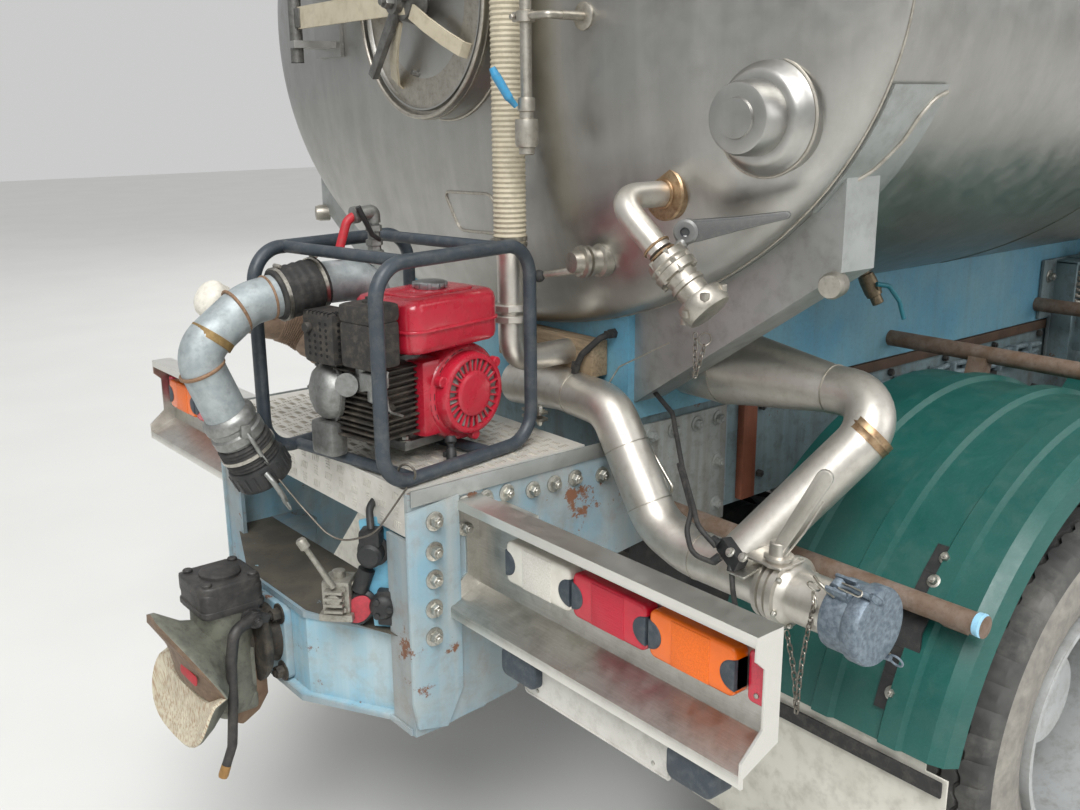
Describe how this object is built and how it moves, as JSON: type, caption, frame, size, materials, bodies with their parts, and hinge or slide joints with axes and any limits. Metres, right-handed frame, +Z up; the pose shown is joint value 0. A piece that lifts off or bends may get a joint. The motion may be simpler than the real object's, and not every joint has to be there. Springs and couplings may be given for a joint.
{
  "type": "tanker truck",
  "caption": "Three-axle forward-control tanker truck with an elliptical stainless tank, rear pump set, hose and pipework, tow coupling, tilting cab and dual rear wheels.",
  "frame": {"origin": "on the ground under the middle of the bounding box", "axes": "+X towards the front of the truck, +Y to its left, +Z up"},
  "size_m": [8.37, 2.82, 3.01],
  "materials": {
    "blue_paint": "satin, worn",
    "stainless": "brushed",
    "galvanised": "dull galvanised",
    "checker_steel": "worn checker plate",
    "dark_steel": "satin",
    "cast_steel": "rough",
    "red_paint": "gloss",
    "slate_paint": "satin",
    "green_plastic": "satin",
    "black_rubber": "matte",
    "tyre": "matte",
    "wheel_steel": "satin",
    "cream_hose": "matte",
    "white_paint": "gloss",
    "glass": "clear",
    "seat_fabric": "woven",
    "black_plastic": "grained",
    "lamp_plastic": "moulded",
    "lamp_clear": "clear",
    "aluminium": "plain"
  },
  "bodies": {
    "chassis": {"tank_shell": "stainless", "chassis_frame": "blue_paint", "subframe": "blue_paint", "tank_saddles": "stainless", "tail_frame": "blue_paint", "deck_plate": "checker_steel", "drawbeam": "blue_paint", "tow_coupling": "cast_steel", "rear_bumper": "stainless", "rear_lamps": "lamp_plastic", "manway_ring": "dark_steel", "head_fittings": "stainless", "vent_hose": "cream_hose", "upper_outlet": "stainless", "transfer_pipes": "stainless", "transfer_valve": "stainless", "pump_frame": "slate_paint", "pump_engine": "red_paint", "pump_fuel_tank": "red_paint", "pump_housing": "cast_steel", "discharge_pipe": "galvanised", "mudguards": "green_plastic", "guard_stays": "galvanised", "mudflaps": "black_rubber", "drive_axles": "dark_steel", "front_axle": "dark_steel", "leaf_springs": "dark_steel", "engine_block": "cast_steel", "fuel_tank": "aluminium", "battery_box": "black_plastic", "air_tanks": "dark_steel", "walkway": "aluminium", "front_bumper": "black_plastic", "headlamps": "lamp_clear", "front_mudguards": "green_plastic"},
    "manway_lid_body": {"manway_lid": "stainless"},
    "hatch_lid_body": {"hatch_lid": "stainless"},
    "wheels_rear_left": {"wheel_rear_left": "wheel_steel", "tyres_rear_left": "tyre"},
    "wheels_rear_right": {"wheel_rear_right": "wheel_steel", "tyres_rear_right": "tyre"},
    "wheels_middle_left": {"wheel_middle_left": "wheel_steel", "tyres_middle_left": "tyre"},
    "wheels_middle_right": {"wheel_middle_right": "wheel_steel", "tyres_middle_right": "tyre"},
    "steer_left": {"knuckle_left": "dark_steel"},
    "steer_right": {"knuckle_right": "dark_steel"},
    "front_wheel_left_body": {"wheel_front_left": "wheel_steel", "tyre_front_left": "tyre"},
    "front_wheel_right_body": {"wheel_front_right": "wheel_steel", "tyre_front_right": "tyre"},
    "cab": {"cab_shell": "white_paint", "cab_glass": "glass", "cab_interior": "seat_fabric", "grille": "black_plastic", "mirrors": "black_plastic"},
    "door_left_body": {"door_left": "white_paint", "door_glass_left": "glass"},
    "door_right_body": {"door_right": "white_paint", "door_glass_right": "glass"}
  },
  "joints": [
    {"name": "rear_left_spin", "type": "hinge", "parent": "chassis", "child": "wheels_rear_left", "pos_m": [-2.445, 0.94, 0.5], "axis": [0, 1, 0], "continuous": true},
    {"name": "rear_right_spin", "type": "hinge", "parent": "chassis", "child": "wheels_rear_right", "pos_m": [-2.445, -0.94, 0.5], "axis": [0, 1, 0], "continuous": true},
    {"name": "middle_left_spin", "type": "hinge", "parent": "chassis", "child": "wheels_middle_left", "pos_m": [-1.145, 0.94, 0.5], "axis": [0, 1, 0], "continuous": true},
    {"name": "middle_right_spin", "type": "hinge", "parent": "chassis", "child": "wheels_middle_right", "pos_m": [-1.145, -0.94, 0.5], "axis": [0, 1, 0], "continuous": true},
    {"name": "steer_left_turn", "type": "hinge", "parent": "chassis", "child": "steer_left", "pos_m": [2.805, 0.87, 0.5], "axis": [0, 0, 1], "range_deg": [-35, 35]},
    {"name": "front_left_spin", "type": "hinge", "parent": "steer_left", "child": "front_wheel_left_body", "pos_m": [2.805, 1.03, 0.5], "axis": [0, 1, 0], "continuous": true},
    {"name": "steer_right_turn", "type": "hinge", "parent": "chassis", "child": "steer_right", "pos_m": [2.805, -0.87, 0.5], "axis": [0, 0, 1], "range_deg": [-35, 35]},
    {"name": "front_right_spin", "type": "hinge", "parent": "steer_right", "child": "front_wheel_right_body", "pos_m": [2.805, -1.03, 0.5], "axis": [0, 1, 0], "continuous": true},
    {"name": "cab_tilt", "type": "hinge", "parent": "chassis", "child": "cab", "pos_m": [4.1, 0, 0.83], "axis": [0, 1, 0], "range_deg": [0, 45]},
    {"name": "door_left_swing", "type": "hinge", "parent": "cab", "child": "door_left_body", "pos_m": [3.92, 1.2, 1.9], "axis": [0, 0, 1], "range_deg": [-70, 0]},
    {"name": "door_right_swing", "type": "hinge", "parent": "cab", "child": "door_right_body", "pos_m": [3.92, -1.2, 1.9], "axis": [0, 0, 1], "range_deg": [0, 70]},
    {"name": "manway_lid_swing", "type": "hinge", "parent": "chassis", "child": "manway_lid_body", "pos_m": [-3.469, 0.56, 2.11], "axis": [0, 0, 1], "range_deg": [-100, 0]},
    {"name": "hatch_lid_swing", "type": "hinge", "parent": "chassis", "child": "hatch_lid_body", "pos_m": [-1.028, 0, 2.974], "axis": [0, 1, 0], "range_deg": [-100, 0]}
  ],
  "couplings": [
    {"joint": "steer_right_turn", "follows": "steer_left_turn", "ratio": 1}
  ]
}
